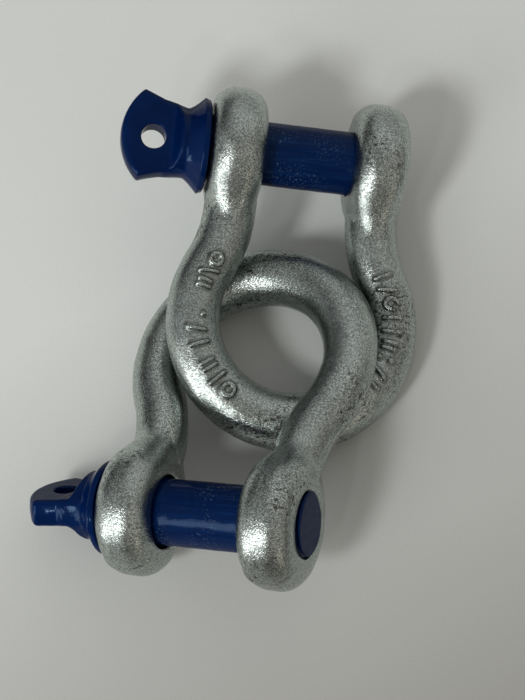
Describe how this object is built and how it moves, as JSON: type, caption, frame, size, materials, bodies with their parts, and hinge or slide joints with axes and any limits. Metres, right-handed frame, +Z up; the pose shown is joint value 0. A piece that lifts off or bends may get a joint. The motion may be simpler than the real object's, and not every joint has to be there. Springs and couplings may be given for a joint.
{
  "type": "linked screw-pin anchor shackles",
  "caption": "Galvanised screw-pin anchor shackles linked bow through bow, with blue screw pins that unscrew and draw out.",
  "frame": {"origin": "on the surface the pair lies on, under the middle of its bounding box", "axes": "+Z up, +Y from the lower shackle's pin towards the upper shackle's pin, +X from the pins' eye tabs towards their threaded ends"},
  "size_m": [0.113, 0.1526, 0.0496],
  "materials": {
    "galvanised": "hot-dip galvanised forging, satin, finely grained",
    "blue_paint": "glossy dark blue enamel on steel"
  },
  "bodies": {
    "upper_bow": {"upper_bow": "galvanised"},
    "upper_pin_carriage": {"upper_pin_shank": "blue_paint"},
    "upper_pin_screw": {"upper_pin_head": "blue_paint", "upper_pin_thread": "blue_paint"},
    "lower_bow": {"lower_bow": "galvanised"},
    "lower_pin_carriage": {"lower_pin_shank": "blue_paint"},
    "lower_pin_screw": {"lower_pin_head": "blue_paint", "lower_pin_thread": "blue_paint"}
  },
  "joints": [
    {"name": "link_swing", "type": "hinge", "parent": "upper_bow", "child": "lower_bow", "pos_m": [-0.0007, 0.0164, 0.0141], "axis": [-0.7896, -0.07, -0.6097], "range_deg": [0, 80]},
    {"name": "upper_pin_travel", "type": "slide", "parent": "upper_bow", "child": "upper_pin_carriage", "axis": [-0.9696, 0.0542, 0.2385], "range_m": [0, 0.06096]},
    {"name": "upper_pin_turn", "type": "hinge", "parent": "upper_pin_carriage", "child": "upper_pin_screw", "pos_m": [0.0248, 0.0562, 0.0251], "axis": [-0.9696, 0.0542, 0.2385], "range_deg": [0, 8640]},
    {"name": "lower_pin_travel", "type": "slide", "parent": "lower_bow", "child": "lower_pin_carriage", "axis": [-0.9504, 0.1796, -0.2538], "range_m": [0, 0.06096]},
    {"name": "lower_pin_turn", "type": "hinge", "parent": "lower_pin_carriage", "child": "lower_pin_screw", "pos_m": [-0.0026, -0.0535, 0.0254], "axis": [-0.9504, 0.1796, -0.2538], "range_deg": [0, 8640]}
  ],
  "couplings": [
    {"joint": "upper_pin_turn", "follows": "upper_pin_travel", "rad_per_m": 2473.7},
    {"joint": "lower_pin_turn", "follows": "lower_pin_travel", "rad_per_m": 2473.7}
  ]
}
